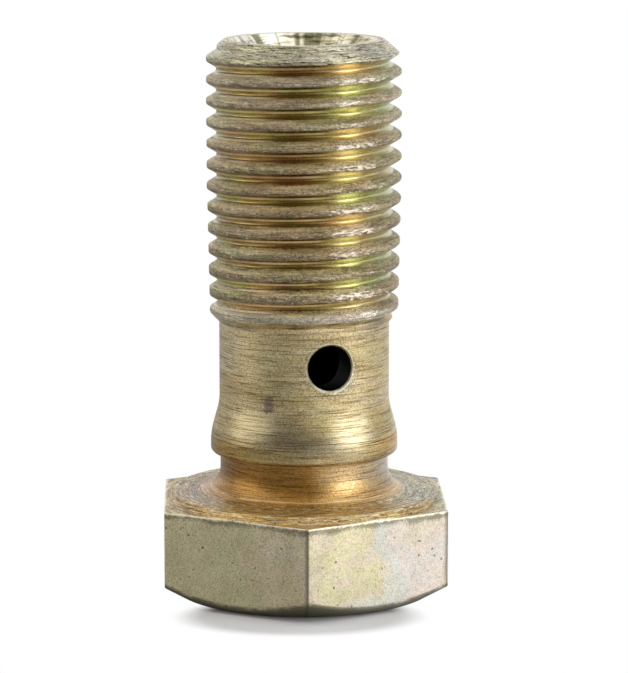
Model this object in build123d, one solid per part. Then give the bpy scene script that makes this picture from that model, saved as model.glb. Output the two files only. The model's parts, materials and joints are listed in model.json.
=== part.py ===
from build123d import *
from math import hypot, radians, tan
import os

# Banjo bolt for an M14 x 1.5 thread, turned from hexagon bar and cross-drilled. Millimetres.
# The bolt stands on its head: the origin is the centre of the head's end face, +Z runs up the
# axis to the threaded end, and one corner of the hexagon points to -Y. It is one piece of
# steel, so it is one solid.

# Hexagon head
ACROSS_FLATS = 20.0
HEX_HEIGHT = 6.75             # end face to the shoulder beneath the washer face
HEX_CORNER_ROUNDING = 0.2     # the bar's drawn corners
END_FACE_DIAMETER = 18.4
END_CHAMFER_ANGLE = 30.0      # degrees from the end face

# Washer face: the raised, turned ring that the sealing washer seats on
WASHER_FACE_DIAMETER = 19.0
WASHER_FACE_RISE = 0.45       # its side is bevelled at 45 degrees

# Neck and collar: the groove between head and collar keeps the sealing washer captive
NECK_DIAMETER = 12.0
NECK_FILLET = 1.8             # into the washer face
NECK_LENGTH = 2.9             # washer face to the underside of the collar
COLLAR_DIAMETER = 13.35
COLLAR_EDGE_BREAK = 0.25      # 45-degree bevel on the collar's lower edge
COLLAR_BAND = 1.35            # from the collar's underside to the start of the flare
FLARE_LENGTH = 2.25           # cone from the collar up to the shank
FLARE_FOOT_ROUNDING = 5.0
FLARE_HEAD_ROUNDING = 4.0

# Shank, up to the thread
SHANK_DIAMETER = 12.1
SHANK_LENGTH = 5.8

# Threaded length, at the size of the thread's crests: straight from the tip, then cut down a
# little towards the shank. It ends in a 45-degree shoulder at the shank and a 45-degree
# chamfer at the tip.
THREAD_LENGTH = 20.0
CREST_DIAMETER = 13.85
CREST_DIAMETER_AT_SHANK = 13.42
STRAIGHT_CREST_LENGTH = 9.5   # measured from the tip
TIP_DIAMETER = 11.65          # flat ring round the countersink

# Oil passages: one blind hole down the axis, crossed by one hole through the shank
BORE_DIAMETER = 7.0
BORE_DEPTH = 25.0             # full-diameter part, from the tip
DRILL_POINT_ANGLE = 118.0
COUNTERSINK_DIAMETER = 10.2
COUNTERSINK_ANGLE = 90.0
CROSS_HOLE_DIAMETER = 3.2
CROSS_HOLE_HEIGHT = 9.77      # above the washer face
CROSS_HOLE_AZIMUTH = -73.5    # degrees from +X
CROSS_HOLE_EDGE_BREAK = 0.12

# Heights that follow from the sizes above
WASHER_FACE_Z = HEX_HEIGHT + WASHER_FACE_RISE
COLLAR_Z = WASHER_FACE_Z + NECK_LENGTH
FLARE_FOOT_Z = COLLAR_Z + COLLAR_BAND
FLARE_HEAD_Z = FLARE_FOOT_Z + FLARE_LENGTH
THREAD_Z = FLARE_HEAD_Z + SHANK_LENGTH
TIP_Z = THREAD_Z + THREAD_LENGTH


def revolved(corners):
    """Turn a closed outline of (radius, height, rounding) corners about the bolt's axis."""
    points = [(radius, 0, height) for radius, height, rounding in corners]
    roundings = [rounding for radius, height, rounding in corners]
    outline = FilletPolyline(*points, radius=roundings, close=True)
    return revolve(Face(Wire(outline.edges())), Axis.Z)


def hexagon_head():
    """Hexagon prism whose lower corners are cut by the end chamfer's cone."""
    corner_radius = ACROSS_FLATS / (3 ** 0.5)
    hexagon = RegularPolygon(corner_radius, 6, rotation=30)
    hexagon = fillet(hexagon.vertices(), HEX_CORNER_ROUNDING)
    prism = extrude(hexagon, HEX_HEIGHT)
    end_radius = END_FACE_DIAMETER / 2
    chamfer_rise = (corner_radius - end_radius) * tan(radians(END_CHAMFER_ANGLE))
    envelope = revolved([
        (0, 0, 0),
        (end_radius, 0, 0),
        (corner_radius, chamfer_rise, 0),
        (corner_radius, HEX_HEIGHT, 0),
        (0, HEX_HEIGHT, 0),
    ])
    return prism & envelope


def turned_body():
    """Everything above the head's shoulder, as turned before drilling."""
    washer_radius = WASHER_FACE_DIAMETER / 2
    shoulder_radius = washer_radius + WASHER_FACE_RISE
    neck_radius = NECK_DIAMETER / 2
    collar_radius = COLLAR_DIAMETER / 2
    shank_radius = SHANK_DIAMETER / 2
    low_crest_radius = CREST_DIAMETER_AT_SHANK / 2
    crest_radius = CREST_DIAMETER / 2
    tip_radius = TIP_DIAMETER / 2
    return revolved([
        (0, HEX_HEIGHT / 2, 0),
        (shoulder_radius, HEX_HEIGHT / 2, 0),
        (shoulder_radius, HEX_HEIGHT, 0),
        (washer_radius, WASHER_FACE_Z, 0),
        (neck_radius, WASHER_FACE_Z, NECK_FILLET),
        (neck_radius, COLLAR_Z, 0),
        (collar_radius - COLLAR_EDGE_BREAK, COLLAR_Z, 0),
        (collar_radius, COLLAR_Z + COLLAR_EDGE_BREAK, 0),
        (collar_radius, FLARE_FOOT_Z, FLARE_FOOT_ROUNDING),
        (shank_radius, FLARE_HEAD_Z, FLARE_HEAD_ROUNDING),
        (shank_radius, THREAD_Z, 0),
        (low_crest_radius, THREAD_Z + low_crest_radius - shank_radius, 0),
        (crest_radius, TIP_Z - STRAIGHT_CREST_LENGTH, 0),
        (crest_radius, TIP_Z - (crest_radius - tip_radius), 0),
        (tip_radius, TIP_Z, 0),
        (0, TIP_Z, 0),
    ])


def axial_bore():
    """Blind oil hole from the tip, with its countersink and drill point."""
    bore_radius = BORE_DIAMETER / 2
    mouth_radius = COUNTERSINK_DIAMETER / 2
    countersink_depth = (mouth_radius - bore_radius) / tan(radians(COUNTERSINK_ANGLE / 2))
    point_depth = bore_radius / tan(radians(DRILL_POINT_ANGLE / 2))
    bore_end_z = TIP_Z - BORE_DEPTH
    return revolved([
        (0, bore_end_z - point_depth, 0),
        (bore_radius, bore_end_z, 0),
        (bore_radius, TIP_Z - countersink_depth, 0),
        (mouth_radius, TIP_Z, 0),
        (0, TIP_Z, 0),
    ])


def cross_hole():
    """Oil hole straight through the shank, square to the axis."""
    middle = Location((0, 0, WASHER_FACE_Z + CROSS_HOLE_HEIGHT), (0, 0, CROSS_HOLE_AZIMUTH))
    drill = Cylinder(CROSS_HOLE_DIAMETER / 2, SHANK_DIAMETER * 1.2, rotation=(0, 90, 0))
    return middle * drill


def distance_from_axis(edge):
    start = edge @ 0
    return round(hypot(start.X, start.Y), 3)


def break_cross_hole_edges(bolt):
    """Bevel the two saddle-shaped edges where the cross hole comes out of the shank."""
    saddles = bolt.edges().filter_by(GeomType.BSPLINE)
    mouths = saddles.group_by(distance_from_axis)[-1]
    return chamfer(mouths, CROSS_HOLE_EDGE_BREAK)


def banjo_bolt():
    blank = hexagon_head() + turned_body()
    drilled = blank - axial_bore() - cross_hole()
    return break_cross_hole_edges(drilled)


if __name__ == "__main__":
    os.makedirs("parts", exist_ok=True)
    export_step(banjo_bolt(), "parts/banjo_bolt.step")
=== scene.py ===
import bpy
import json
from math import atan2, cos, hypot, pi, radians, sin, sqrt, tan
import numpy as np
from mathutils import Matrix, Vector, noise

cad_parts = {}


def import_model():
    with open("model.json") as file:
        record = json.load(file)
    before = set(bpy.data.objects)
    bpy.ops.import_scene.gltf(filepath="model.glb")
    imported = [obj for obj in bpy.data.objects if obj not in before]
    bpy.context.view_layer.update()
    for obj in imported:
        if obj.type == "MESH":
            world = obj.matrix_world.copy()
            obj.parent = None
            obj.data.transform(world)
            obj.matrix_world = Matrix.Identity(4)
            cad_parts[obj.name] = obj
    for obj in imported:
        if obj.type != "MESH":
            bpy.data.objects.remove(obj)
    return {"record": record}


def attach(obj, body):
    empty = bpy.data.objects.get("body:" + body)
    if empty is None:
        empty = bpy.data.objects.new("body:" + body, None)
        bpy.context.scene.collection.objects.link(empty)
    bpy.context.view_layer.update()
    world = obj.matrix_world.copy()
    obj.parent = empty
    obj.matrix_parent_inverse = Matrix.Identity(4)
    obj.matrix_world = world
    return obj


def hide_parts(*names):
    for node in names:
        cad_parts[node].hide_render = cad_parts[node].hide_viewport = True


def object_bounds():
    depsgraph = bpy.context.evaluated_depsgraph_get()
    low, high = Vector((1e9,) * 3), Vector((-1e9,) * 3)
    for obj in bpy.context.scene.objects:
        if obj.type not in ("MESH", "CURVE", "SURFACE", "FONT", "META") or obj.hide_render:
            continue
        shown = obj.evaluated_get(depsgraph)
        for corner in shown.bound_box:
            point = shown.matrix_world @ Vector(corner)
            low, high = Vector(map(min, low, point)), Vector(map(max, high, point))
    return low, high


# The looks of a yellow-passivated banjo bolt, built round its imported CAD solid. The bolt's own
# sizes are in millimetres, in the CAD frame: origin at the centre of the head's end face, +Z up
# the axis to the threaded end. Blender gets metres.

MM = 0.001
PIECE = "banjo_bolt_plated"

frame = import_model()
cad_low, cad_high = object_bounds()
mounts = {mount["name"]: mount for mount in frame["record"]["mounts"]}

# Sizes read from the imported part
ACROSS_FLATS = (cad_high.x - cad_low.x) / MM
TIP_Z = cad_high.z / MM
CREST_RADIUS = mounts["thread"]["dims"]["r_mm"]
BORE_RADIUS = mounts["axial_bore"]["dims"]["r_mm"]
CROSS_HOLE_RADIUS = mounts["cross_hole"]["dims"]["r_mm"]
CROSS_HOLE_Z = mounts["cross_hole"]["pos_m"][2] / MM
CROSS_HOLE_AXIS = mounts["cross_hole"]["axis"]
WASHER_FACE_Z = mounts["washer_face"]["pos_m"][2] / MM

# Head
HEX_TOP_Z = 6.75
HEX_CORNER_ROUNDING = 0.15
END_FACE_RADIUS = 9.2
END_FACE_ROUNDING = 0.3
END_CHAMFER_SLOPE = tan(radians(30))
END_CHAMFER_ROUNDING = 0.12   # where the chamfer meets the hexagon's sides
SHOULDER_RADIUS = 9.95
WASHER_FACE_RADIUS = 9.5
EDGE_ROUNDING = 0.07          # what plating and handling leave of a sharp edge

# Neck, collar and shank
NECK_RADIUS = 6.0
NECK_FILLET = 1.8
NECK_TOP_ROUNDING = 0.1
COLLAR_Z = 10.1
COLLAR_RADIUS = 6.675
COLLAR_EDGE_ROUNDING = 0.3
FLARE_FOOT_Z = 11.45
FLARE_HEAD_Z = 13.7
FLARE_FOOT_ROUNDING = 5.0
FLARE_HEAD_ROUNDING = 4.0
SHANK_RADIUS = 6.05
THREAD_Z = 19.5
CROSS_HOLE_EDGE_BREAK = 0.12

# Thread
PITCH = 1.5
ROOT_RADIUS = 6.115
ROOT_ROUNDING = 0.19
ROOT_OFFSET = 0.075           # the die cut this much deeper on +X and shallower on -X
THREAD_LEAN = -0.012          # and ran this far out of square, height over X
FLANK_ANGLE = radians(30)     # from the plane square to the axis
LOW_CREST_RADIUS = 6.71
STRAIGHT_CREST_LENGTH = 9.5   # measured from the tip
STRAIGHT_CREST_Z = TIP_Z - STRAIGHT_CREST_LENGTH
GROOVE_Z = 18.6               # a groove's middle crosses +X near this height
CREST_SOFTNESS = 0.13         # how far a crest's corners are worn round
TIP_SOFTNESS = 0.16           # and those of the first turns
FIRST_TURNS_LENGTH = 4.5      # measured from the tip
FIRST_TURNS_FADE = 2.5        # length over which they turn into the others
ROOT_HALF_WIDTH = ROOT_ROUNDING * cos(FLANK_ANGLE)
ROOT_RISE = ROOT_ROUNDING * (1 - sin(FLANK_ANGLE))

# The mesh has rows along the helix, and level ones where the thread runs out at both ends
LEVEL_STEP = 0.075
ROW_CLEARANCE = 0.03          # between the level rows and the others
RUN_OUT_LENGTH = 0.75         # above the shank
LEAD_IN_LENGTH = 1.2          # below the tip
RIM_RUN_IN = 0.3              # below the tip, where the lead-in goes over into the rim's outline
CREST_EDGE_ROWS = (-0.1, -0.04, 0.02, 0.09)     # from the sharp crest's edge

# Dents in the crests: azimuth from the camera's side in degrees, height, size
NICKS = (
    (26, 27.2, 0.45),
    (31, 25.7, 0.5),
    (17, 30.4, 0.3),
    (-12, 33.0, 0.3),
    (42, 33.6, 0.3),
    (38, 35.2, 0.35),
    (-38, 24.3, 0.35),
    (100, 29.0, 0.4),
    (165, 34.0, 0.45),
    (-120, 26.3, 0.4),
    (-160, 31.0, 0.35),
)
NICK_SLOPE = 0.35             # a dent's depth over its size

# Unevenness that wear has left: layers of depth, width of the hollows, and seed
HEXAGON_WEAR = ((0.02, 2.6, 11), (0.01, 0.8, 5))
CREST_WEAR = ((0.03, 0.45, 7), (0.02, 0.2, 2))
CHATTER_DEPTH = 0.1           # marks that the countersink's cutter left
CHATTER_SPREAD = 9            # a higher number puts more of them round it

# Azimuth from the camera's side in degrees, radius, height, half width and half height
CREST_SCUFF = (32, 6.8, 27.05, 1.0, 0.24)
SHANK_STAIN = (-26, 6.15, 14.3, 0.45, 0.8)

# Threaded end
TIP_RADIUS = 5.825
RIM_ROUNDING = 0.09
COUNTERSINK_RADIUS = 5.1
COUNTERSINK_ROUNDING = 0.07
RIM_WEAR = 0.13               # how much smaller the knocks have left the rim's outer edge
RIM_WEAR_DEPTH = 1.0
BORE_ROUNDING = 0.1
BORE_DEPTH = 25.0
BORE_END_Z = TIP_Z - BORE_DEPTH
DRILL_POINT_ANGLE = radians(118)
DRILL_POINT_DEPTH = BORE_RADIUS / tan(DRILL_POINT_ANGLE / 2)


# ---- Outlines -----------------------------------------------------------------------------

def arc_points(before, corner, after, rounding, count):
    """Points along the arc that rounds off a corner between two others."""
    back = before - corner
    ahead = after - corner
    back /= np.linalg.norm(back)
    ahead /= np.linalg.norm(ahead)
    half_angle = np.arccos(np.clip(back @ ahead, -1, 1)) / 2
    reach = rounding / tan(half_angle)
    middle = (back + ahead) / np.linalg.norm(back + ahead)
    centre = corner + middle * rounding / sin(half_angle)
    first = corner + back * reach - centre
    final = corner + ahead * reach - centre
    turn = pi - 2 * half_angle
    points = []
    for step in range(count):
        share = step / (count - 1)
        blend = sin((1 - share) * turn) * first + sin(share * turn) * final
        points.append(centre + blend / sin(turn))
    return points


def rounded(corners):
    """Points along an outline of (radius, height, rounding, arc points, line points) corners.

    The line points lie on the straight run that follows the corner."""
    places = [np.array(corner[:2], float) for corner in corners]
    bends = [[place] for place in places]
    for index in range(1, len(corners) - 1):
        rounding, arc_count = corners[index][2:4]
        if rounding > 0:
            bends[index] = arc_points(*places[index - 1:index + 2], rounding, arc_count)
    points = list(bends[0])
    for corner, bend, next_bend in zip(corners, bends, bends[1:]):
        start, end, line_count = bend[-1], next_bend[0], corner[4]
        for step in range(1, line_count + 1):
            points.append(start + (end - start) * step / (line_count + 1))
        points.extend(next_bend)
    return points


def hexagon_radius(angle):
    """Distance from the axis to the hexagon's side, with its corners rounded."""
    apothem = ACROSS_FLATS / 2
    from_flat = (angle + pi / 6) % (pi / 3) - pi / 6
    sharp = apothem / cos(from_flat)
    to_corner = pi / 6 - abs(from_flat)
    arc_centre = (apothem - HEX_CORNER_ROUNDING) / cos(pi / 6)
    across = arc_centre * sin(to_corner)
    arc_height = sqrt(max(HEX_CORNER_ROUNDING ** 2 - across ** 2, 0))
    rounded_off = arc_centre * cos(to_corner) + arc_height
    return min(sharp, rounded_off) if across < HEX_CORNER_ROUNDING / 2 else sharp


def lower_outline(angle):
    """From the middle of the end face, over the head, neck, collar and shank, to the thread."""
    hexagon = hexagon_radius(angle)
    chamfer_top = (hexagon - END_FACE_RADIUS) * END_CHAMFER_SLOPE
    top_rounding = min(EDGE_ROUNDING, 0.45 * (hexagon - SHOULDER_RADIUS))
    return rounded([
        (0, 0, 0, 0, 3),
        (END_FACE_RADIUS, 0, END_FACE_ROUNDING, 3, 3),
        (hexagon, chamfer_top, END_CHAMFER_ROUNDING, 3, 14),
        (hexagon, HEX_TOP_Z, top_rounding, 4, 3),
        (SHOULDER_RADIUS, HEX_TOP_Z, 0, 0, 2),
        (WASHER_FACE_RADIUS, WASHER_FACE_Z, EDGE_ROUNDING, 4, 9),
        (NECK_RADIUS, WASHER_FACE_Z, NECK_FILLET, 13, 2),
        (NECK_RADIUS, COLLAR_Z, NECK_TOP_ROUNDING, 3, 1),
        (COLLAR_RADIUS, COLLAR_Z, COLLAR_EDGE_ROUNDING, 6, 3),
        (COLLAR_RADIUS, FLARE_FOOT_Z, FLARE_FOOT_ROUNDING, 9, 8),
        (SHANK_RADIUS, FLARE_HEAD_Z, FLARE_HEAD_ROUNDING, 7, 44),
        (SHANK_RADIUS, THREAD_Z, 0, 0, 0),
    ])


def upper_outline():
    """From the top of the lead-in chamfer, over the rim, down the bore to its end."""
    countersink_z = TIP_Z - (COUNTERSINK_RADIUS - BORE_RADIUS)
    return rounded([
        (TIP_RADIUS + RIM_RUN_IN, TIP_Z - RIM_RUN_IN, 0, 0, 2),
        (TIP_RADIUS, TIP_Z, RIM_ROUNDING, 4, 5),
        (COUNTERSINK_RADIUS, TIP_Z, COUNTERSINK_ROUNDING, 4, 8),
        (BORE_RADIUS, countersink_z, BORE_ROUNDING, 2, 12),
        (BORE_RADIUS, BORE_END_Z, BORE_ROUNDING, 2, 4),
        (0, BORE_END_Z - DRILL_POINT_DEPTH, 0, 0, 0),
    ])[1:]


def crest_radius(z):
    """Crest radius by height: straight near the tip, cut down towards the shank."""
    share = np.clip((z - THREAD_Z) / (STRAIGHT_CREST_Z - THREAD_Z), 0, 1)
    return LOW_CREST_RADIUS + (CREST_RADIUS - LOW_CREST_RADIUS) * share


def root_radius(angle):
    """Radius of the groove's bottom, which lies a little off the axis."""
    return ROOT_RADIUS - ROOT_OFFSET * cos(angle)


def groove_rise(distance):
    """How far the groove's wall stands above its bottom, by distance from its middle."""
    in_root = np.minimum(distance, ROOT_HALF_WIDTH)
    root = ROOT_ROUNDING - np.sqrt(ROOT_ROUNDING ** 2 - in_root ** 2)
    flank = ROOT_RISE + (distance - ROOT_HALF_WIDTH) / tan(FLANK_ANGLE)
    return np.where(distance < ROOT_HALF_WIDTH, root, flank)


def groove_middle(angle):
    """Height of one groove's middle."""
    return GROOVE_Z + PITCH * angle / (2 * pi) + THREAD_LEAN * ROOT_RADIUS * cos(angle)


def soft_minimum(a, b, softness):
    """The smaller of two numbers, with a smooth passage where they come within the softness."""
    share = np.clip(0.5 + (b - a) / (2 * softness), 0, 1)
    return b + (a - b) * share - softness * share * (1 - share)


def thread_radius(angle, z):
    """Radius of the threaded length at an angle and height."""
    from_groove = (z - groove_middle(angle) + PITCH / 2) % PITCH - PITCH / 2
    groove = root_radius(angle) + groove_rise(np.abs(from_groove))
    shoulder = SHANK_RADIUS + z - THREAD_Z
    lead_in = TIP_RADIUS + TIP_Z - z
    turned = soft_minimum(crest_radius(z), np.minimum(shoulder, lead_in), CREST_SOFTNESS)
    near_tip = np.clip((z - TIP_Z + FIRST_TURNS_LENGTH) / FIRST_TURNS_FADE, 0, 1)
    softness = CREST_SOFTNESS + (TIP_SOFTNESS - CREST_SOFTNESS) * near_tip
    return soft_minimum(groove, turned, softness)


def thread_heights(angle):
    """Where a column of the threaded length has its points."""
    low_end = THREAD_Z + RUN_OUT_LENGTH
    high_end = TIP_Z - LEAD_IN_LENGTH
    low_rows = np.arange(THREAD_Z + LEVEL_STEP, low_end + LEVEL_STEP / 2, LEVEL_STEP)
    high_rows = np.arange(high_end, TIP_Z - RIM_RUN_IN + LEVEL_STEP / 2, LEVEL_STEP)
    rows = []
    middle = groove_middle(angle)
    while middle < high_end + PITCH:
        flank_height = crest_radius(middle) - root_radius(angle) - ROOT_RISE
        half_mouth = ROOT_HALF_WIDTH + flank_height * tan(FLANK_ANGLE)
        half_flank = (ROOT_HALF_WIDTH + half_mouth) / 2
        crest_edge = (half_mouth + offset for offset in CREST_EDGE_ROWS)
        for offset in (0, ROOT_HALF_WIDTH / 2, ROOT_HALF_WIDTH, half_flank, *crest_edge):
            rows.append(middle + offset)
            rows.append(middle - offset)
        rows.append(middle + PITCH / 2)
        middle += PITCH
    low_limit, high_limit = low_end + ROW_CLEARANCE, high_end - ROW_CLEARANCE
    rows = sorted(set(z for z in rows if low_limit < z < high_limit))
    return np.concatenate([low_rows, rows, high_rows])


# ---- Mesh ---------------------------------------------------------------------------------

COLUMN_COUNT = 204
CORNER_COLUMNS = (-0.55, -0.3, 0.3, 0.55)     # degrees either side of a hexagon corner
DRILL_SIDES = 96
DRILL_OVERSHOOT = 0.6         # how far the drill reaches out of each mouth
SMOOTH_BELOW = radians(40)    # edges that bend less than this are shaded smooth


def column_angles():
    """Even columns, one of them on each corner, with more close to the corners."""
    even = [360 * column / COLUMN_COUNT for column in range(COLUMN_COUNT)]
    near = [corner + extra for corner in range(30, 390, 60) for extra in CORNER_COLUMNS]
    return [radians(angle) for angle in sorted(even + near)]


def hollows(place, width, seed):
    """Smooth noise from 0 to 1 at a point, with hollows of about a width."""
    return 0.5 + 0.5 * noise.noise(place / width + Vector((seed, 0, 0)))


def unevenness(place, layers):
    """Summed depth of some layers of hollows at a point."""
    return sum(depth * hollows(place, width, seed) for depth, width, seed in layers)


def nick_depth(place):
    """How deep the dents in the crests are at a point."""
    depth = 0
    for azimuth, z, size in NICKS:
        middle = Vector((sin(radians(azimuth)), -cos(radians(azimuth)), 0)) * CREST_RADIUS
        middle.z = z
        closeness = 1 - (place - middle).length / size
        depth += NICK_SLOPE * size * max(closeness, 0)
    return depth


def wear(angle, radius, z):
    """How far the surface lies inside its ideal form, in the hexagon, crests and countersink."""
    place = Vector((radius * cos(angle), radius * sin(angle), z))
    on_hexagon = 0.8 < z < HEX_TOP_Z and radius > END_FACE_RADIUS
    on_rim = z > TIP_Z - RIM_WEAR_DEPTH and radius > (TIP_RADIUS + COUNTERSINK_RADIUS) / 2
    on_crest = z > THREAD_Z + 0.8 and radius > ROOT_RADIUS + 0.35
    in_countersink = z > TIP_Z - 1.5 and BORE_RADIUS + 0.1 < radius < COUNTERSINK_RADIUS - 0.05
    if on_hexagon:
        return unevenness(place, HEXAGON_WEAR)
    if on_rim:
        knocks = 0.6 + 0.8 * hollows(place, 1.2, 9)
        return RIM_WEAR * knocks * (1 - (TIP_Z - z) / RIM_WEAR_DEPTH)
    if on_crest:
        return unevenness(place, CREST_WEAR) + nick_depth(place)
    if in_countersink:
        around = Vector((cos(angle), sin(angle), 0)) * CHATTER_SPREAD
        return CHATTER_DEPTH * (hollows(around, 1.0, 3) - 0.5)
    return 0


def column_points(angle, rim):
    """The bolt's skin at one angle, from the end face's middle to the bore's end."""
    low = [tuple(point) for point in lower_outline(angle)]
    heights = thread_heights(angle)
    thread = list(zip(thread_radius(angle, heights), heights))
    chain = np.array(low + thread + rim)
    chain[:, 0] -= [wear(angle, radius, z) for radius, z in chain]
    return np.column_stack([chain[:, 0] * cos(angle), chain[:, 0] * sin(angle), chain[:, 1]])


def zip_columns(points, left, right):
    """Triangles between two neighbouring columns, always by the shorter diagonal."""
    triangles = []
    i, j = 0, 0
    while i < len(left) - 1 or j < len(right) - 1:
        if i == len(left) - 1:
            up_left = False
        elif j == len(right) - 1:
            up_left = True
        else:
            rise_left = points[left[i + 1]] - points[right[j]]
            rise_right = points[right[j + 1]] - points[left[i]]
            up_left = rise_left @ rise_left <= rise_right @ rise_right
        if up_left:
            triangles.append((left[i], right[j], left[i + 1]))
            i += 1
        else:
            triangles.append((left[i], right[j], right[j + 1]))
            j += 1
    return [t for t in triangles if len(set(t)) == 3]


def turned_mesh():
    """Points and triangles of the whole bolt before the cross hole is drilled."""
    rim = [tuple(point) for point in upper_outline()]
    columns = [column_points(angle, rim) for angle in column_angles()]
    points = [columns[0][0], columns[0][-1]]
    indices = []
    for column in columns:
        first = len(points)
        points.extend(column[1:-1])
        indices.append([0] + list(range(first, len(points))) + [1])
    points = np.array(points)
    triangles = []
    for left, right in zip(indices, indices[1:] + indices[:1]):
        triangles.extend(zip_columns(points, left, right))
    return points, triangles


def mesh_object(name, points, faces):
    """A mesh in the scene, from points in millimetres."""
    mesh = bpy.data.meshes.new(name)
    mesh.from_pydata([tuple(point * MM) for point in points], [], faces)
    mesh.validate()
    item = bpy.data.objects.new(name, mesh)
    bpy.context.scene.collection.objects.link(item)
    return item


def cross_drill():
    """The cross hole's drill, flared where it breaks the edge of each mouth."""
    edge_break = CROSS_HOLE_EDGE_BREAK
    flared = (
        (edge_break, 0),
        (0, edge_break),
        (-DRILL_OVERSHOOT, edge_break + DRILL_OVERSHOOT),
    )
    rings = []
    for end in (-1, 1):
        for depth, flare in flared:
            ring = []
            for side in range(DRILL_SIDES):
                around = 2 * pi * side / DRILL_SIDES
                across = CROSS_HOLE_RADIUS * cos(around)
                mouth = sqrt(SHANK_RADIUS ** 2 - across ** 2)
                radius = CROSS_HOLE_RADIUS + flare
                ring.append((end * (mouth - depth), radius * cos(around), radius * sin(around)))
            rings.append(ring)
    rings = rings[2::-1] + rings[3:]
    points = np.array([point for ring in rings for point in ring])
    low_end = tuple(range(DRILL_SIDES))[::-1]
    high_end = tuple(range(len(points) - DRILL_SIDES, len(points)))
    faces = [low_end, high_end]
    for first in range(0, len(points) - DRILL_SIDES, DRILL_SIDES):
        for side in range(DRILL_SIDES):
            a, b = first + side, first + (side + 1) % DRILL_SIDES
            faces.append((a, b, b + DRILL_SIDES, a + DRILL_SIDES))
    turn = atan2(CROSS_HOLE_AXIS[1], CROSS_HOLE_AXIS[0])
    matrix = np.array(Matrix.Rotation(turn, 3, "Z"))
    points = points @ matrix.T + np.array((0, 0, CROSS_HOLE_Z))
    return mesh_object("cross_drill", points, faces)


def subtract(bolt, drill):
    """Take the drill out of the bolt and drop the drill."""
    cut = bolt.modifiers.new("cross_hole", "BOOLEAN")
    cut.operation = "DIFFERENCE"
    cut.solver = "EXACT"
    cut.object = drill
    depsgraph = bpy.context.evaluated_depsgraph_get()
    mesh = bpy.data.meshes.new_from_object(bolt.evaluated_get(depsgraph))
    bolt.modifiers.clear()
    solid = bolt.data
    bolt.data = mesh
    bpy.data.meshes.remove(solid)
    bpy.data.meshes.remove(drill.data)


# ---- Materials ----------------------------------------------------------------------------

def srgb(red, green, blue):
    """The colour that shows as these values, 0 to 255, in a picture."""
    return tuple((value / 255) ** 2.2 for value in (red, green, blue)) + (1.0,)


# What wear, stains and a thicker or thinner film make of the plate, and painted light and shade
WORN_EDGE = srgb(244, 238, 214)
PIT = srgb(100, 88, 62)
BURR_SHADOW = srgb(112, 104, 76)
CHAMFER_SHADE_GREY = srgb(132, 128, 106)
CHAMFER_LINE = srgb(88, 84, 66)
CORNER_LINE = srgb(96, 90, 72)
NECK_FOOT = srgb(220, 168, 78)
COLLAR_STRAW = srgb(224, 212, 178)
COLLAR_AMBER = srgb(220, 176, 104)
FLARE_AMBER = srgb(200, 178, 120)
WASHER_GREY = srgb(214, 206, 186)
WASHER_GOLD = srgb(250, 212, 132)
SHOULDER_GOLD = srgb(236, 216, 150)
FILLET_HIGHLIGHT = srgb(252, 222, 162)
RIM_GREY = srgb(214, 213, 196)
COUNTERSINK_WHITE = srgb(252, 250, 238)
SHANK_STRAW = srgb(252, 236, 198)
SHANK_PAINTED_SHADE = srgb(212, 194, 156)
PALE_SPECK = srgb(252, 244, 220)
PAINTED_SHEEN = srgb(255, 238, 194)
STAIN = srgb(112, 96, 104)
HOLE_HALO = srgb(112, 112, 84)
HOLE_LIP = srgb(236, 234, 218)
CREST_GREY = srgb(206, 196, 180)
CREST_PALE = srgb(242, 246, 242)
CREST_DUST = srgb(222, 222, 214)
CREST_UNDERSIDE_SHADE = srgb(120, 100, 66)
CREST_TOP_HIGHLIGHT = srgb(244, 230, 190)
CREST_FLECK_AND_GLINT = srgb(250, 238, 220)
GRITTY_TINT = (0.94, 0.82, 0.62, 1)
BORE_SHADE_BLACK = srgb(8, 6, 4)
BORE_MOUTH = srgb(176, 158, 112)

# Tones along a value from 0 to 1, and tints that multiply a tone
HEXAGON_TONES = (
    (0.00, srgb(230, 220, 184)),
    (0.06, srgb(224, 222, 184)),
    (0.16, srgb(236, 218, 190)),
    (0.27, srgb(230, 220, 184)),
    (0.36, srgb(238, 222, 204)),
    (0.43, srgb(236, 226, 196)),
    (0.49, srgb(236, 230, 188)),
    (0.55, srgb(242, 224, 200)),
    (0.62, srgb(232, 229, 216)),
    (0.72, srgb(230, 229, 224)),
    (0.82, srgb(238, 224, 217)),
    (0.94, srgb(238, 226, 210)),
)
# The neck from left to right: browner, then a painted highlight at 0.68, and paler beyond it
NECK_TONES_AND_HIGHLIGHT = (
    (0.10, srgb(186, 138, 64)),
    (0.30, srgb(178, 130, 50)),
    (0.52, srgb(184, 134, 56)),
    (0.68, srgb(244, 208, 146)),
    (0.84, srgb(222, 192, 144)),
    (0.96, srgb(200, 182, 152)),
)
TURNED_TINTS = (
    (0.32, (0.82, 0.84, 0.92, 1)),
    (0.42, (1.0, 0.99, 0.96, 1)),
    (0.54, (1.0, 0.94, 0.78, 1)),
    (0.66, (0.94, 1.0, 0.87, 1)),
)
# Crests left to right; the pink on the lit right and grey at the outlines are partly painted
# light
CREST_TONES = (
    (0.05, srgb(244, 248, 232)),
    (0.30, srgb(242, 238, 196)),
    (0.60, srgb(242, 234, 198)),
    (0.80, srgb(250, 236, 220)),
    (0.95, srgb(216, 216, 200)),
)
CREST_TINTS = (
    (0.42, (1.0, 0.93, 0.90, 1)),
    (0.58, (0.93, 1.0, 0.90, 1)),
)
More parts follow.
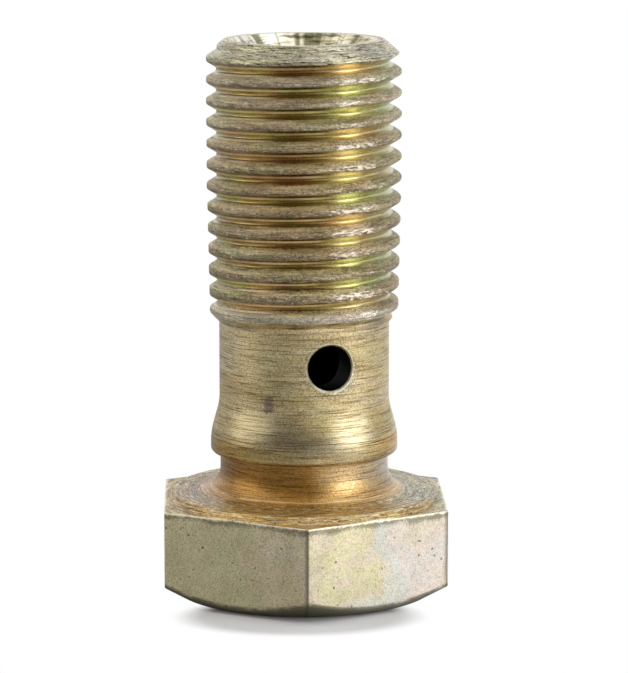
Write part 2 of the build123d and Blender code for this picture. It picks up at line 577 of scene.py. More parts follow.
# Roots left to right, paler where the right lamp's highlight falls: partly painted highlight
ROOT_TONES = (
    (0.02, srgb(196, 190, 150)),
    (0.20, srgb(196, 172, 104)),
    (0.45, srgb(216, 184, 110)),
    (0.66, srgb(208, 194, 148)),
    (0.80, srgb(206, 196, 150)),
    (0.95, srgb(196, 190, 162)),
)
ROOT_TINTS = (
    (0.37, (1.0, 0.85, 0.66, 1)),
    (0.46, (1.0, 0.92, 0.78, 1)),
    (0.54, (1.0, 1.0, 0.80, 1)),
    (0.63, (0.88, 1.0, 0.76, 1)),
)
# Painted shade in lines along the roots, and the painted highlight along each groove
ROOT_PAINTED_SHADES = ((0.42, srgb(102, 62, 14)), (0.52, srgb(88, 76, 6)))
ROOT_GLEAMS = ((0.44, srgb(255, 216, 180)), (0.56, srgb(244, 238, 164)))

FILM_ROUGHNESS = 0.16
FILM_IOR = 1.8
STREAK_FALL = 0.7             # height that counts as much as a millimetre of radius in streaks
FILLET_HIGHLIGHT_RADIUS = 6.72     # radius of the painted highlight round the neck's fillet


def feed(tree, socket, value):
    """Link a node's input to a socket, or give it a plain value."""
    if isinstance(value, bpy.types.NodeSocket):
        tree.links.new(value, socket)
    else:
        socket.default_value = value


class Value:
    """A number that shader nodes work out, so that a formula of them can be written plainly."""

    def __init__(self, nodes, socket):
        self.nodes = nodes
        self.socket = socket

    def __add__(self, other):
        return self.nodes.math("ADD", self, other)

    def __sub__(self, other):
        return self.nodes.math("SUBTRACT", self, other)

    def __rsub__(self, other):
        return self.nodes.math("SUBTRACT", other, self)

    def __mul__(self, other):
        return self.nodes.math("MULTIPLY", self, other)

    def __truediv__(self, other):
        return self.nodes.math("DIVIDE", self, other)

    __radd__ = __add__
    __rmul__ = __mul__


class Nodes:
    """One material's nodes. Lengths in its formulas are millimetres from the bolt's origin."""

    def __init__(self, name):
        self.material = bpy.data.materials.new(name)
        self.material.use_nodes = True
        self.tree = self.material.node_tree
        self.surface = self.tree.nodes["Principled BSDF"]
        coordinates = self.tree.nodes.new("ShaderNodeTexCoord")
        place = self.tree.nodes.new("ShaderNodeVectorMath")
        place.operation = "SCALE"
        place.inputs["Scale"].default_value = 1 / MM
        self.tree.links.new(coordinates.outputs["Object"], place.inputs[0])
        self.place = place.outputs[0]
        split = self.tree.nodes.new("ShaderNodeSeparateXYZ")
        self.tree.links.new(self.place, split.inputs[0])
        self.x, self.y, self.z = (Value(self, split.outputs[axis]) for axis in range(3))
        self.radius = self.math("SQRT", self.x * self.x + self.y * self.y)
        self.angle = self.math("ARCTAN2", self.y, self.x)
        self.side = self.x / self.radius
        self.back = self.y / self.radius
        self.path = self.z - self.radius * STREAK_FALL

    def feed(self, socket, value):
        feed(self.tree, socket, value.socket if isinstance(value, Value) else value)

    def math(self, operation, a, b=0.0, c=0.0):
        """One of Blender's math operations on numbers or Values."""
        node = self.tree.nodes.new("ShaderNodeMath")
        node.operation = operation
        for socket, value in zip(node.inputs, (a, b, c)):
            self.feed(socket, value)
        return Value(self, node.outputs[0])

    def least(self, a, b):
        return self.math("MINIMUM", a, b)

    def most(self, a, b):
        return self.math("MAXIMUM", a, b)

    def step(self, value, low, high, kind="SMOOTHSTEP"):
        """0 below low, 1 above high, and a rise between them; high may be the lower."""
        node = self.tree.nodes.new("ShaderNodeMapRange")
        node.interpolation_type = kind
        flip = high < low
        limits = (min(low, high), max(low, high), float(flip), float(not flip))
        for socket, number in zip(node.inputs, (value,) + limits):
            self.feed(socket, number)
        return Value(self, node.outputs[0])

    def band(self, value, outside, inside):
        """1 where a value is within inside of 0, fading to 0 where it is outside away."""
        return self.step(self.math("ABSOLUTE", value), outside, inside)

    def streaks(self, features_around, features_up, shift, detail, roughness, seed):
        """Noise in streaks round the axis, as a lathe leaves them. The shift moves it sideways.

        The numbers of features are those once round the bolt and in a millimetre upwards."""
        where = self.tree.nodes.new("ShaderNodeCombineXYZ")
        stretch = features_around / (2 * pi)
        self.feed(where.inputs[0], self.side * stretch + shift)
        self.feed(where.inputs[1], self.back * stretch)
        self.feed(where.inputs[2], self.path * features_up)
        return self.noise(where.outputs[0], 1.0, detail, roughness, seed)

    def noise(self, where, scale, detail, roughness, seed):
        """Noise about 0.5, with features 1 / scale long. The seed shifts it to another place."""
        node = self.tree.nodes.new("ShaderNodeTexNoise")
        node.noise_dimensions = "4D"
        self.feed(node.inputs["Vector"], where)
        node.inputs["W"].default_value = seed
        node.inputs["Scale"].default_value = scale
        node.inputs["Detail"].default_value = detail
        node.inputs["Roughness"].default_value = roughness
        return Value(self, node.outputs["Fac"])

    def mix(self, share, a, b, blend="MIX"):
        """One colour with a share of another over it."""
        node = self.tree.nodes.new("ShaderNodeMix")
        node.data_type = "RGBA"
        node.blend_type = blend
        colours = [socket for socket in node.inputs if socket.type == "RGBA"]
        self.feed(node.inputs[0], share)
        self.feed(colours[0], a)
        self.feed(colours[1], b)
        return next(socket for socket in node.outputs if socket.type == "RGBA")

    def ramp(self, value, stops):
        """A colour by a value, from (value, colour) stops."""
        node = self.tree.nodes.new("ShaderNodeValToRGB")
        ramp = node.color_ramp
        while len(ramp.elements) < len(stops):
            ramp.elements.new(0.5)
        for element, (position, colour) in zip(ramp.elements, stops):
            element.position = position
            element.color = colour
        self.feed(node.inputs[0], value)
        return node.outputs["Color"]

    def tinted(self, tone, value, tints):
        """A tone multiplied by a tint, which depends on a value."""
        return self.mix(1.0, tone, self.ramp(value, tints), "MULTIPLY")

    def shaded(self, tone, value, dark, low, high):
        """A tone that is darkened where a value falls from high to low."""
        return self.tinted(tone, value, ((low, dark + (1,)), (high, (1, 1, 1, 1))))

    def finish(self, colour, roughness, height, depth, metallic=1.0, film=0.0):
        """Set the plate's colour, roughness, bump of the given depth, metal and clear film."""
        settings = (
            ("Metallic", metallic),
            ("Base Color", colour),
            ("Roughness", roughness),
            ("Coat Weight", film),
            ("Coat Roughness", FILM_ROUGHNESS),
            ("Coat IOR", FILM_IOR),
        )
        for name, value in settings:
            self.feed(self.surface.inputs[name], value)
        bump = self.tree.nodes.new("ShaderNodeBump")
        bump.inputs["Distance"].default_value = depth * MM
        self.feed(bump.inputs["Height"], height)
        self.tree.links.new(bump.outputs[0], self.surface.inputs["Normal"])
        return self.material


def to_hexagon_side(n):
    """How far a point of the head lies inside the hexagon's nearest side."""
    from_flat = n.math("PINGPONG", n.angle, pi / 6)
    return ACROSS_FLATS / 2 - n.radius * n.math("COSINE", from_flat)


def burr(n, distance):
    """A ragged bright line along an edge, by the distance from it."""
    ragged = n.noise(n.place, 1.3, 4, 0.85, 2.0)
    return n.step(distance + (ragged - 0.5) * 0.8, 0.18, 0.05)


def hexagon_plate():
    """Satin plate on the hexagon: soft tints, fine speckle, pits, and burred top edges."""
    n = Nodes("plated_hexagon")
    clouds = n.noise(n.place, 0.5, 3, 0.6, 8.0)
    drift = n.noise(n.place, 0.3, 2, 0.5, 3.0)
    mottle = n.noise(n.place, 3.0, 4, 0.75, 4.0)
    speckle = n.noise(n.place, 9.0, 3, 0.8, 1.0)
    pits = n.step(n.noise(n.place, 3.2, 1, 0.4, 5.0), 0.69, 0.75)

    # The film's tints, darkened in clouds, mottle, speckle and pits
    film = n.x * 0.06 + n.z * 0.012 + (drift - 0.5) + 0.30 + (mottle - 0.5) * 0.5
    tone = n.ramp(film, HEXAGON_TONES)
    tone = n.shaded(tone, clouds, (0.84, 0.85, 0.78), 0.32, 0.58)
    tone = n.shaded(tone, mottle, (0.88, 0.88, 0.82), 0.38, 0.50)
    paler_right = n.step(n.x, -1.0, 1.0) * 0.03
    tone = n.shaded(tone, speckle + paler_right, (0.56, 0.54, 0.48), 0.36, 0.56)
    tone = n.mix(pits * 0.7, tone, PIT)

    # The burred top edges, with painted shadow in a band beneath them
    below_top = HEX_TOP_Z - n.z
    dull = n.step(below_top + (clouds - 0.5) * 1.2 + (speckle - 0.5) * 0.8, 0.6, 0.2)
    tone = n.mix(dull * 0.7, tone, BURR_SHADOW)
    worn = burr(n, below_top)
    tone = n.mix(worn * 0.8, tone, WORN_EDGE)

    # Painted shade on the end chamfer, the line along its edge, and a line beside each hexagon
    # corner
    above_chamfer = n.z - (n.radius - END_FACE_RADIUS) * END_CHAMFER_SLOPE
    chamfer = n.step(above_chamfer + (clouds - 0.5) * 0.2, 0.14, 0.04)
    tone = n.mix(chamfer * 0.8, tone, CHAMFER_SHADE_GREY)
    edge = n.band(above_chamfer - 0.12, 0.2, 0.02) * n.step(clouds, 0.38, 0.52)
    tone = n.mix(edge * 0.75, tone, CHAMFER_LINE)
    from_flat = n.math("WRAP", n.angle, pi / 6, -pi / 6) + (clouds - 0.5) * 0.03
    corner = n.step(from_flat, pi / 6 - 0.032, pi / 6 - 0.006)
    tone = n.mix(corner * 0.65, tone, CORNER_LINE)

    roughness = 0.44 + clouds * 0.1 + speckle * 0.08 - worn * 0.2
    height = speckle * 0.7 + clouds - pits * 0.8
    return n.finish(tone, roughness, height, 0.03, 0.85)


def spot(n, azimuth, radius, z, across, up):
    """1 inside a ragged spot on the bolt's surface; across and up are its half sizes."""
    x = n.x - radius * sin(radians(azimuth))
    y = n.y + radius * cos(radians(azimuth))
    z = (n.z - z) * (across / up)
    ragged = n.noise(n.place, 3.0, 3, 0.8, 5.0)
    distance = n.math("SQRT", x * x + y * y + z * z) / across
    return n.step(distance + (ragged - 0.5) * 2.0, 1.0, 0.6)


def from_cross_hole(n):
    """Distance from the cross hole's axis."""
    across = n.y * CROSS_HOLE_AXIS[0] - n.x * CROSS_HOLE_AXIS[1]
    above = n.z - CROSS_HOLE_Z
    return n.math("SQRT", across * across + above * above)


def turned_plate():
    """Turned plate from the washer face up to the shank, and on the threaded end's rim."""
    n = Nodes("plated_turned")
    side = n.side
    coarse = n.streaks(4.0, 1.1, 0.0, 3, 0.6, 1.0)
    fine = n.streaks(11.0, 12.0, 7.0, 3, 0.8, 2.0)
    tint = n.streaks(5.0, 0.35, 3.0, 2, 0.5, 6.0)
    chatter = n.streaks(30.0, 0.3, 4.0, 2, 0.7, 3.0)
    dark_specks = n.streaks(44.0, 8.0, 3.0, 3, 0.85, 8.0)
    pale_specks = n.streaks(60.0, 8.0, 1.0, 3, 0.85, 9.0)
    grain = n.noise(n.place, 9.0, 2, 0.8, 4.0)
    wander = coarse - 0.5

    # Where a point lies: head is all below the collar, low all from the neck's foot down, and
    # outer the washer face without its inner part
    head = n.step(n.z + wander * 0.6, COLLAR_Z + 0.3, COLLAR_Z - 0.1)
    low = n.step(n.z, WASHER_FACE_Z + 2.0, WASHER_FACE_Z + 0.4) * head
    outer = n.step(n.radius + wander * 2.0, 6.9, 7.9)
    outer = outer * n.step(n.z, WASHER_FACE_Z + 0.8, WASHER_FACE_Z + 0.2)
    rim = n.step(n.z, THREAD_Z + 5, THREAD_Z + 6)
    countersink = n.step(n.radius, COUNTERSINK_RADIUS + 0.1, COUNTERSINK_RADIUS) * rim
    shank = n.step(n.z, FLARE_FOOT_Z, FLARE_HEAD_Z) * (1 - rim)

    # Tones of the neck, the washer face, the threaded end, the shank, the collar and the flare
    # The neck, browner on the left, with a painted highlight on its right front and paler beyond
    neck = n.ramp(side * 0.5 + 0.5, NECK_TONES_AND_HIGHLIGHT)
    neck = n.mix(low * 0.4, neck, NECK_FOOT)
    tone = n.mix(head, COLLAR_STRAW, neck)
    # Washer face grey aside and behind, most on the right, gold in front: partly painted
    # reflection
    not_front = n.step(n.back + wander, -0.85, -0.3)
    grey = outer * (not_front * 0.8 + 0.2) * (0.5 + n.step(side, -0.3, 0.4) * 0.5)
    tone = n.mix(grey, tone, WASHER_GREY)
    gold = outer * (1 - not_front) * 0.7
    tone = n.mix(gold, tone, WASHER_GOLD)
    tone = n.mix(rim, tone, n.mix(countersink, RIM_GREY, COUNTERSINK_WHITE))
    # The shank's straw tone, darker on the right, where the lamp lights it most, as painted
    # shade
    shank_tone = n.mix(n.step(side, 0.05, 0.5), SHANK_STRAW, SHANK_PAINTED_SHADE)
    tone = n.mix(shank * 0.6, tone, shank_tone)
    collar = n.band(n.z - (COLLAR_Z + 0.6) + wander, 1.2, 0.4) * (1 - head)
    outward = n.step(n.math("ABSOLUTE", side), 0.45, 0.9)
    tone = n.mix(collar * (outward * 0.6 + 0.25), tone, COLLAR_AMBER)
    flare = n.band(n.z - (FLARE_FOOT_Z + 0.35), 2.4, 1.6)
    tone = n.mix(flare * 0.4, tone, FLARE_AMBER)
    tone = n.tinted(tone, tint, TURNED_TINTS)

    # Turning marks, grain, and specks where the plate is scuffed
    tone = n.shaded(tone, coarse, (0.84, 0.80, 0.72), 0.36, 0.50)
    tone = n.shaded(tone, fine + shank * 0.012, (0.28, 0.25, 0.20), 0.38, 0.52)
    local_grain = grain - outer * 0.03 + countersink * 0.1
    tone = n.shaded(tone, local_grain, (0.50, 0.47, 0.40), 0.38, 0.54)
    scuffed = n.most(rim - countersink, head * n.step(n.radius, 6.6, 7.4))
    tone = n.shaded(tone, dark_specks + (1 - scuffed) * 0.2, (0.10, 0.08, 0.05), 0.40, 0.49)
    tone = n.mix(n.step(pale_specks, 0.56, 0.62) * scuffed * 0.8, tone, PALE_SPECK)
    tone = n.shaded(tone, chatter + (1 - countersink) * 0.3, (0.34, 0.33, 0.24), 0.41, 0.53)

    # Painted highlights in two stripes up the flare and round the neck's fillet, and the stained
    # patch
    stripes = n.most(n.band(side + 0.6, 0.3, 0.1) * 0.7, n.band(side - 0.5, 0.28, 0.1))
    painted_sheen = stripes * n.band(n.z - (FLARE_FOOT_Z + 1.15), 1.6, 0.6) * n.step(fine, 0.42, 0.58)
    tone = n.mix(painted_sheen * 0.7, tone, PAINTED_SHEEN)
    tone = n.mix(spot(n, *SHANK_STAIN) * 0.6, tone, STAIN)
    ring = n.band(n.radius + wander * 0.2 - FILLET_HIGHLIGHT_RADIUS, 0.09, 0.02) * low
    ring = ring * n.step(fine, 0.44, 0.54) * n.step(coarse, 0.40, 0.54)
    tone = n.mix(ring * 0.7, tone, FILLET_HIGHLIGHT)

    # The cross hole's dull surroundings and its pale lip
    hole = from_cross_hole(n) - CROSS_HOLE_RADIUS
    halo = n.step(hole + wander * 0.8, 0.9, 0.1) * n.step(grain, 0.56, 0.44)
    tone = n.mix(halo * 0.6, tone, HOLE_HALO)
    lip = n.band(hole - 0.1 + (grain - 0.5) * 0.1, 0.11, 0.05)
    lip = lip * (0.2 + n.step(n.noise(n.place, 0.9, 2, 0.5, 6.0), 0.46, 0.6) * 0.6)
    tone = n.mix(lip, tone, HOLE_LIP)

    # Gold and a burr along the hexagon's edge, on the shoulder beside the washer face
    to_side = to_hexagon_side(n)
    arcs = n.step(n.streaks(30.0, 3.0, 2.0, 3, 0.8, 3.0), 0.50, 0.6)
    arcs = arcs * n.step(to_side, 1.4, 0.2) * n.step(n.z, WASHER_FACE_Z + 0.1, WASHER_FACE_Z)
    tone = n.mix(arcs * 0.7, tone, SHOULDER_GOLD)
    worn = burr(n, to_side) * n.step(n.z, HEX_TOP_Z + 0.1, HEX_TOP_Z)
    tone = n.mix(worn * 0.8, tone, WORN_EDGE)

    roughness = 0.22 + shank * 0.06 + low * 0.04 + outer * 0.14 + fine * 0.14
    height = fine * (0.4 + shank * 0.6 + low * 0.3) + grain * 0.3
    metallic = 0.95 - head * 0.1 - low * 0.15 - rim * 0.15 - painted_sheen * 0.35
    return n.finish(tone, roughness, height, 0.04, metallic, head * 0.25)


def thread_plate():
    """Scuffed grey-gold plate on the crests and upper flanks, smooth gold film in the roots."""
    n = Nodes("plated_thread")
    side = n.side
    patches = n.streaks(4.0, 0.35, 5.0, 2, 0.5, 2.0)
    clouds = n.streaks(9.0, 0.7, 8.0, 2, 0.6, 4.0)
    tint = n.streaks(6.0, 0.5, 2.0, 2, 0.6, 8.0)
    hue = n.streaks(6.0, 0.6, 9.0, 2, 0.6, 7.0) + side * 0.03
    scratches = n.streaks(24.0, 9.0, 2.0, 3, 0.8, 6.0)
    dashes = n.streaks(100.0, 7.5, 0.0, 2, 0.7, 3.0)
    speckle = n.noise(n.place, 8.5, 3, 0.85, 1.0)

    # Height above the nearest groove's middle, and depth below the surface before threading
    turn = n.angle / (2 * pi) * PITCH + side * (THREAD_LEAN * ROOT_RADIUS)
    from_groove = n.math("WRAP", n.z - turn - GROOVE_Z, PITCH / 2, -PITCH / 2)
    crests = n.step(n.z, THREAD_Z, STRAIGHT_CREST_Z, "LINEAR")
    crests = crests * (CREST_RADIUS - LOW_CREST_RADIUS) + LOW_CREST_RADIUS
    ends = n.least(n.z + (SHANK_RADIUS - THREAD_Z), TIP_RADIUS + TIP_Z - n.z)
    depth = n.least(crests, ends) - n.radius

    # Where a point lies: gritty is the crests and the flanks that face the tip
    left = n.step(side, -0.2, -0.55)
    right = n.step(side, 0.0, 0.5)
    run_out = n.step(n.z + (patches - 0.5) * 0.8, THREAD_Z + 1.7, THREAD_Z + 1.1)
    near_tip = n.step(n.z, TIP_Z - 8, TIP_Z - 2)
    gritty_depth = n.step(from_groove, 0.1, -0.1) * 0.5 + 0.08 + (dashes - 0.5) * 0.25
    gritty = n.step(depth - gritty_depth, 0.06, -0.04)

    # The gritty plate, with painted shade in a brown line under each crest
    tone = n.ramp(side * 0.5 + 0.5 + (patches - 0.5) * 0.8, CREST_TONES)
    tone = n.mix(n.step(depth, 0.16, 0.06) * 0.6, tone, CREST_GREY)
    tone = n.mix(n.most(run_out * 0.8, near_tip * 0.6), tone, CREST_PALE)
    tone = n.tinted(tone, tint, CREST_TINTS)
    tone = n.mix(1.0, tone, GRITTY_TINT, "MULTIPLY")
    under_crest_shade = n.band(from_groove - 0.58, 0.17, 0.06)
    tone = n.mix(under_crest_shade * 0.45, tone, CREST_UNDERSIDE_SHADE)
    tone = n.shaded(tone, clouds, (0.72, 0.69, 0.62), 0.40, 0.56)
    tone = n.shaded(tone, speckle + left * 0.02, (0.16, 0.14, 0.11), 0.38, 0.54)
    tone = n.shaded(tone, dashes, (0.62, 0.59, 0.53), 0.38, 0.52)
    tone = n.shaded(tone, scratches, (0.28, 0.25, 0.20), 0.38, 0.52)
    tone = n.mix(n.most(run_out, near_tip * 0.5) * 0.18 + 0.06, tone, CREST_DUST)
    # A painted highlight along each crest's upper edge, left out on the right
    lit_upper_edge = n.band(from_groove + 0.39, 0.14, 0.03) * (1 - right)
    lit_upper_edge = lit_upper_edge * (0.3 + n.step(clouds, 0.42, 0.56) * 0.7)
    tone = n.mix(lit_upper_edge * 0.25, tone, CREST_TOP_HIGHLIGHT)

    # Flecks of bare metal, more of them on the lit right as painted glints, and the one large
    # scuff
    rubbed_and_lit = n.band(side - 0.5, 0.35, 0.1) * n.step(patches, 0.43, 0.56)
    flecks_and_glints = n.step(n.streaks(100.0, 9.0, 4.0, 2, 0.8, 9.0) + rubbed_and_lit * 0.13, 0.60, 0.66)
    # Painted glints along the flanks on the left
    glints = n.band(from_groove + 0.22, 0.08, 0.03) * left * n.step(patches, 0.44, 0.54)
    flecks_and_glints = n.most(flecks_and_glints * gritty, glints)
    flecks_and_glints = n.most(flecks_and_glints, spot(n, *CREST_SCUFF) * n.step(speckle, 0.36, 0.46))
    tone = n.mix(flecks_and_glints * 0.8, tone, CREST_FLECK_AND_GLINT)

    # The film in the roots, with lines of painted shade and a painted highlight along each
    # groove
    film = n.tinted(n.ramp(side * 0.5 + 0.5, ROOT_TONES), hue, ROOT_TINTS)
    film = n.shaded(film, scratches, (0.60, 0.54, 0.44), 0.38, 0.52)
    wide_shade = n.band(from_groove + 0.08, 0.19, 0.12)
    thin_shade = n.band(from_groove + 0.12, 0.07, 0.02)
    upper_shade = n.band(from_groove - 0.47, 0.1, 0.03)
    groove_shade = n.most(upper_shade, wide_shade + (thin_shade - wide_shade) * left) * (1 - right)
    film = n.mix(groove_shade * 0.85, film, n.ramp(hue, ROOT_PAINTED_SHADES))
    gleam = n.band(from_groove - 0.27, 0.13, 0.05) * (1 - right) * (1 - gritty)
    gleam = gleam * (0.6 + n.step(n.streaks(7.0, 0.5, 6.0, 2, 0.6, 1.0), 0.42, 0.58) * 0.4)
    film = n.mix(gleam * 0.9, film, n.ramp(hue, ROOT_GLEAMS))
    tone = n.mix(n.most(gritty, glints), film, tone)

    roughness = 0.24 + gritty * 0.26 - flecks_and_glints * 0.22 + (speckle - 0.5) * 0.3
    height = (speckle + dashes * 0.5 + scratches * 0.5) * (0.2 + gritty * 0.8)
    dull = gritty * n.step(side, 0.3, -0.6) * 0.16
    dull = n.most(dull, n.most(gleam * 0.7, glints * 0.5)) + left * (1 - gritty) * 0.15
    metallic = 0.92 - dull - lit_upper_edge * gritty * (1 - left) * 0.22
    return n.finish(tone, roughness, height, 0.05, metallic, (1 - gritty) * 0.25)


def bore_plate():
    """The holes' walls: the plate's tone at the mouth, and painted black shade deeper in."""
    n = Nodes("bore_wall")
    rings = n.streaks(2.0, 3.0, 0.0, 3, 0.6, 1.0)
    mouth = n.step(n.z + (rings - 0.5) * 1.5, TIP_Z - 7.0, TIP_Z - 1.6)
    tone = n.mix(mouth, BORE_SHADE_BLACK, BORE_MOUTH)
    tone = n.shaded(tone, rings, (0.6, 0.58, 0.55), 0.3, 0.6)
    return n.finish(tone, 0.62 - mouth * 0.2, rings, 0.02)


# ---- The bolt -----------------------------------------------------------------------------

def build_bolt():
    """The bolt in one piece, drilled and shaded."""
    points, triangles = turned_mesh()
    bolt = mesh_object(PIECE, points, triangles)
    subtract(bolt, cross_drill())
    for polygon in bolt.data.polygons:
        polygon.use_smooth = True
    bolt.data.set_sharp_from_angle(angle=SMOOTH_BELOW)
    return bolt


def in_cross_hole(x, y, z):
    """Whether a point on the bolt lies within the cross hole, or inside the tube's wall."""
    along = x * CROSS_HOLE_AXIS[0] + y * CROSS_HOLE_AXIS[1]
    across = hypot(x - along * CROSS_HOLE_AXIS[0], y - along * CROSS_HOLE_AXIS[1])
    depth = sqrt(max(SHANK_RADIUS ** 2 - across ** 2, 0)) - abs(along)
    near = hypot(across, z - CROSS_HOLE_Z) < CROSS_HOLE_RADIUS + 0.01
    return near and depth > CROSS_HOLE_EDGE_BREAK


def surface_of(x, y, z):
    """Which material a point of the bolt's skin has."""
    radius = hypot(x, y)
    in_axial_bore = z > 1 and radius < BORE_RADIUS + 0.02
    on_hexagon = z < HEX_TOP_Z - 0.05
    outside_countersink = radius > COUNTERSINK_RADIUS + 0.3
    above_shoulder = z > THREAD_Z + RUN_OUT_LENGTH
    below_rim = radius + z < TIP_RADIUS + TIP_Z - RIM_RUN_IN
    if in_axial_bore or in_cross_hole(x, y, z):
        return "bore"
    if on_hexagon:
        return "hexagon"
    if outside_countersink and above_shoulder and below_rim:
        return "thread"
    return "turned"


def dress(bolt):
    """Give each face the material of its place."""
    materials = {
        "hexagon": hexagon_plate(),
        "turned": turned_plate(),
        "thread": thread_plate(),
        "bore": bore_plate(),
    }
    names = list(materials)
    for name in names:
        bolt.data.materials.append(materials[name])
    for polygon in bolt.data.polygons:
        polygon.material_index = names.index(surface_of(*(polygon.center / MM)))


# ---- Stage --------------------------------------------------------------------------------

LIGHT_TARGET = Vector((0, 0, 0.02))
LIGHT_DISTANCE = 0.5
FLOOR_REACH = 1500            # millimetres from the middle to each edge
SHADOW_MIDDLE = (-0.0005, -0.009, 0)
SHADOW_SIZE = (0.0093, 0.006, 1)
SHADOWED_PAPER = (0.55, 0.55, 0.55, 1)


def camera():
    """A long lens about a quarter of a metre away, looking nearly ten degrees down."""
    distance = 0.2562
    height = 0.06197
    side_angle = radians(1.5)
    data = bpy.data.cameras.new("camera")
    data.sensor_width = 36.0
    data.lens = 194.98
    data.clip_start = 0.01
    data.clip_end = 20.0
    item = bpy.data.objects.new("camera", data)
    bpy.context.scene.collection.objects.link(item)
    item.location = (-distance * sin(side_angle), -distance * cos(side_angle), height)
    pitch = radians(9.678)
    yaw = -side_angle - radians(0.157)
    item.rotation_euler = (pi / 2 - pitch, 0, yaw)
    bpy.context.scene.camera = item


def area_light(name, azimuth, elevation, width, height, radiance, colour):
    """A soft box that faces the bolt. Azimuth 0 is the camera's side, 90 its right."""
    data = bpy.data.lights.new(name, "AREA")
    data.shape = "RECTANGLE"
    data.size = width
    data.size_y = height
    data.energy = radiance * pi * width * height
    data.color = colour
    item = bpy.data.objects.new(name, data)
    item.visible_camera = False
    bpy.context.scene.collection.objects.link(item)
    around, up = radians(azimuth), radians(elevation)
    away = Vector((sin(around) * cos(up), -cos(around) * cos(up), sin(up)))
    item.location = LIGHT_TARGET + away * LIGHT_DISTANCE
    item.rotation_euler = away.to_track_quat("Z", "Y").to_euler()


def lights():
    """A bright box to the right, a wider and warmer one to the left, and a dim one above."""
    area_light(
        "right_box",
        azimuth=60,
        elevation=25,
        width=0.26,
        height=0.5,
        radiance=3.2,
        colour=(0.98, 1.0, 1.04),
    )
    area_light(
        "left_box",
        azimuth=-88,
        elevation=38,
        width=0.36,
        height=0.62,
        radiance=0.9,
        colour=(1.0, 0.94, 0.83),
    )
    area_light(
        "top_box",
        azimuth=100,
        elevation=66,
        width=0.3,
        height=0.3,
        radiance=1.0,
        colour=(1.0, 1.0, 1.0),
    )


def background(tree, strength):
    """A plain white world shader of a strength, which may be a socket."""
    node = tree.nodes.new("ShaderNodeBackground")
    node.inputs["Color"].default_value = (1, 1, 1, 1)
    feed(tree, node.inputs["Strength"], strength)
    return node.outputs[0]


def switch(tree, ray, otherwise, shader):
    """One shader for a kind of ray, and another for the rest."""
    path = tree.nodes.new("ShaderNodeLightPath")
    mix = tree.nodes.new("ShaderNodeMixShader")
    tree.links.new(path.outputs[ray], mix.inputs["Fac"])
    tree.links.new(otherwise, mix.inputs[1])
    tree.links.new(shader, mix.inputs[2])
    return mix.outputs[0]


def rise(tree, value, low, high, to_low, to_high):
    """A smooth change from one number to another as a value goes from low to high."""
    node = tree.nodes.new("ShaderNodeMapRange")
    node.interpolation_type = "SMOOTHSTEP"
    node.inputs["From Min"].default_value = low
    node.inputs["From Max"].default_value = high
    node.inputs["To Min"].default_value = to_low
    node.inputs["To Max"].default_value = to_high
    tree.links.new(value, node.inputs["Value"])
    return node.outputs[0]


def world():
    """White to the camera; in the metal, a pale room with a darker side behind the camera."""
    item = bpy.data.worlds.new("studio")
    bpy.context.scene.world = item
    item.use_nodes = True
    tree = item.node_tree
    tree.nodes.clear()
    direction = tree.nodes.new("ShaderNodeTexCoord")
    split = tree.nodes.new("ShaderNodeSeparateXYZ")
    tree.links.new(direction.outputs["Generated"], split.inputs[0])
    sides = rise(tree, split.outputs["Y"], -0.8, -0.1, 0.15, 0.55)
    backdrop = rise(tree, split.outputs["Y"], 0.4, 0.9, 0.0, 0.45)
    both = tree.nodes.new("ShaderNodeMath")
    tree.links.new(sides, both.inputs[0])
    tree.links.new(backdrop, both.inputs[1])
    room = background(tree, both.outputs[0])
    mixed = switch(tree, "Is Glossy Ray", background(tree, 0.85), room)
    mixed = switch(tree, "Is Transmission Ray", mixed, room)
    mixed = switch(tree, "Is Camera Ray", mixed, background(tree, 1.0))
    output = tree.nodes.new("ShaderNodeOutputWorld")
    tree.links.new(mixed, output.inputs["Surface"])


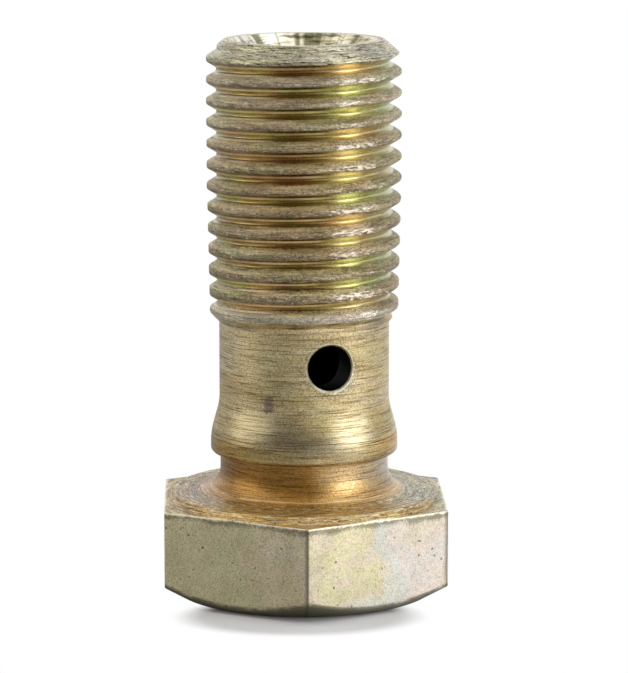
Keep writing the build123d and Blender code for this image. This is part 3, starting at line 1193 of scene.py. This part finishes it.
def paper(tree, colour):
    """Dull paper of a colour, which may be a socket."""
    node = tree.nodes.new("ShaderNodeBsdfDiffuse")
    feed(tree, node.inputs["Color"], colour)
    return node.outputs[0]


def floor():
    """Paper that keeps the bolt's shadow. The camera sees it run out to plain white."""
    low, high = -FLOOR_REACH, FLOOR_REACH
    corners = np.array([(low, low, 0), (high, low, 0), (high, high, 0), (low, high, 0)])
    item = mesh_object("floor", corners, [(0, 1, 2, 3)])
    material = bpy.data.materials.new("floor_paper")
    material.use_nodes = True
    tree = material.node_tree
    tree.nodes.clear()
    place = tree.nodes.new("ShaderNodeTexCoord")

    # To the camera: paper in an ellipse round the shadow, and plain white outside it
    patch = tree.nodes.new("ShaderNodeMapping")
    patch.vector_type = "TEXTURE"
    patch.inputs["Location"].default_value = SHADOW_MIDDLE
    patch.inputs["Scale"].default_value = SHADOW_SIZE
    tree.links.new(place.outputs["Object"], patch.inputs["Vector"])
    distance = tree.nodes.new("ShaderNodeVectorMath")
    distance.operation = "LENGTH"
    tree.links.new(patch.outputs[0], distance.inputs[0])
    white = tree.nodes.new("ShaderNodeEmission")
    white.inputs["Strength"].default_value = 1.0
    seen = tree.nodes.new("ShaderNodeMixShader")
    tree.links.new(rise(tree, distance.outputs["Value"], 0.7, 1.0, 0, 1), seen.inputs["Fac"])
    tree.links.new(paper(tree, SHADOWED_PAPER), seen.inputs[1])
    tree.links.new(white.outputs[0], seen.inputs[2])

    # In the metal and to the light: paper brighter on the right of the bolt, a painted pool of
    # light
    split = tree.nodes.new("ShaderNodeSeparateXYZ")
    tree.links.new(place.outputs["Object"], split.inputs[0])
    sheet = paper(tree, rise(tree, split.outputs["X"], -0.005, 0.015, 0.33, 0.85))
    mixed = switch(tree, "Is Camera Ray", sheet, seen.outputs[0])
    output = tree.nodes.new("ShaderNodeOutputMaterial")
    tree.links.new(mixed, output.inputs["Surface"])
    item.data.materials.append(material)


def main():
    bolt = build_bolt()
    dress(bolt)
    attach(bolt, "root")
    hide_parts("banjo_bolt")
    camera()
    lights()
    world()
    floor()
    bpy.context.scene.view_settings.view_transform = "Standard"


main()
